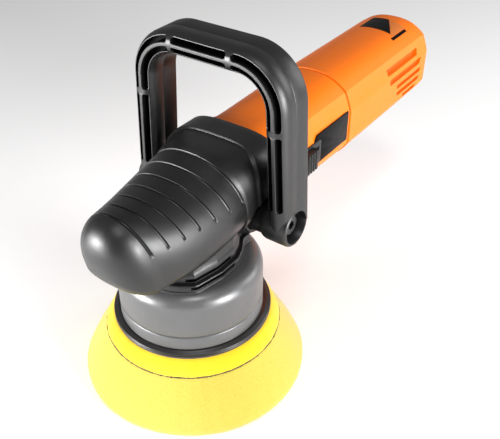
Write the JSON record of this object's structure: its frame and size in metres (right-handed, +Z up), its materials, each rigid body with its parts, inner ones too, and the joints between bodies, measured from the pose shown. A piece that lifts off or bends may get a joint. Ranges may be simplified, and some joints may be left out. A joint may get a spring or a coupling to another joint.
{
  "type": "rotary polisher",
  "caption": "Dual-action polisher with an in-line motor body, a tilting D handle, a shrouded eccentric drive and a foam pad on a round plate.",
  "frame": {"origin": "point of the pad's working face on the spindle axis", "axes": "+Z up along the spindle axis, from the pad to the head; +Y along the motor body, from the nose to the cord inlet; +X to the side with the slide switch"},
  "size_m": [0.166, 0.3948, 0.2495],
  "materials": {
    "black_plastic": "satin",
    "orange_plastic": "satin",
    "label": "gloss",
    "cast_metal": "satin",
    "grey_plastic": "satin",
    "fixings": "satin",
    "steel": "satin",
    "bronze": "satin",
    "lamination": "matte",
    "copper": "satin",
    "carbon": "matte",
    "damper_rubber": "matte",
    "board": "satin",
    "capacitor": "gloss",
    "plate_plastic": "satin",
    "hub_metal": "satin",
    "loop_fabric": "matte",
    "upper_foam": "matte",
    "glue": "matte",
    "polishing_foam": "matte"
  },
  "bodies": {
    "machine": {"nose_cover": "black_plastic", "neck_cover": "black_plastic", "gear_housing": "cast_metal", "handle_sockets": "black_plastic", "retainer_plate": "cast_metal", "retainer_screws": "fixings", "shroud": "grey_plastic", "shroud_ring": "grey_plastic", "shroud_screws": "fixings", "spindle_bearing_outer": "steel", "upper_bush": "bronze", "head_screws": "fixings", "handle_bolts": "fixings", "handle_washers": "steel", "motor_housing": "orange_plastic", "rear_sleeve": "orange_plastic", "rear_sleeve_screws": "fixings", "chassis": "black_plastic", "side_label": "label", "top_label": "label", "switch_guide": "black_plastic", "stator_core": "lamination", "field_windings": "copper", "fan_baffle": "black_plastic", "brush_holders": "bronze", "carbon_brushes": "carbon", "brush_springs": "steel", "armature_bearing_outer": "steel", "bearing_damper": "damper_rubber", "switch_module": "black_plastic", "speed_board": "board", "suppressor_capacitor": "capacitor"},
    "spindle": {"spindle": "steel", "crown_gear": "steel", "crown_circlip": "fixings", "spindle_bearing_inner": "steel", "counterweight": "cast_metal", "plate_bearing_outer": "steel", "bearing_circlip": "fixings"},
    "plate": {"plate_spindle": "steel", "plate_bearing_inner": "steel", "plate_circlip": "fixings", "plate_hub": "hub_metal", "plate_screw": "fixings", "backing_plate": "plate_plastic", "pad_loop_layer": "loop_fabric", "pad_upper": "upper_foam", "pad_glue": "glue", "pad_foam": "polishing_foam"},
    "armature": {"armature_shaft": "steel", "armature_core": "lamination", "armature_windings": "copper", "commutator": "copper", "fan": "black_plastic", "pinion": "steel", "armature_bearing_inner": "steel"},
    "handle": {"d_handle": "black_plastic"},
    "switch": {"slide_switch": "black_plastic", "switch_rod": "steel"},
    "dial": {"speed_dial": "black_plastic"}
  },
  "joints": [
    {"name": "spindle_spin", "type": "hinge", "parent": "machine", "child": "spindle", "pos_m": [0, 0, 0.1], "axis": [0, 0, 1], "continuous": true},
    {"name": "plate_spin", "type": "hinge", "parent": "spindle", "child": "plate", "pos_m": [-0.00229, 0.00328, 0.07], "axis": [0, 0, 1], "continuous": true},
    {"name": "armature_spin", "type": "hinge", "parent": "machine", "child": "armature", "pos_m": [0, 0.1, 0.145], "axis": [0, 1, 0], "continuous": true},
    {"name": "handle_tilt", "type": "hinge", "parent": "machine", "child": "handle", "pos_m": [0, 0.0356, 0.13], "axis": [1, 0, 0], "range_deg": [-35, 35]},
    {"name": "switch_slide", "type": "slide", "parent": "machine", "child": "switch", "axis": [0, 1, 0], "range_m": [0, 0.006]},
    {"name": "speed_dial_turn", "type": "hinge", "parent": "machine", "child": "dial", "pos_m": [0, 0.262, 0.121], "axis": [1, 0, 0], "range_deg": [0, 270]}
  ],
  "couplings": [
    {"joint": "armature_spin", "follows": "spindle_spin", "ratio": 4}
  ]
}
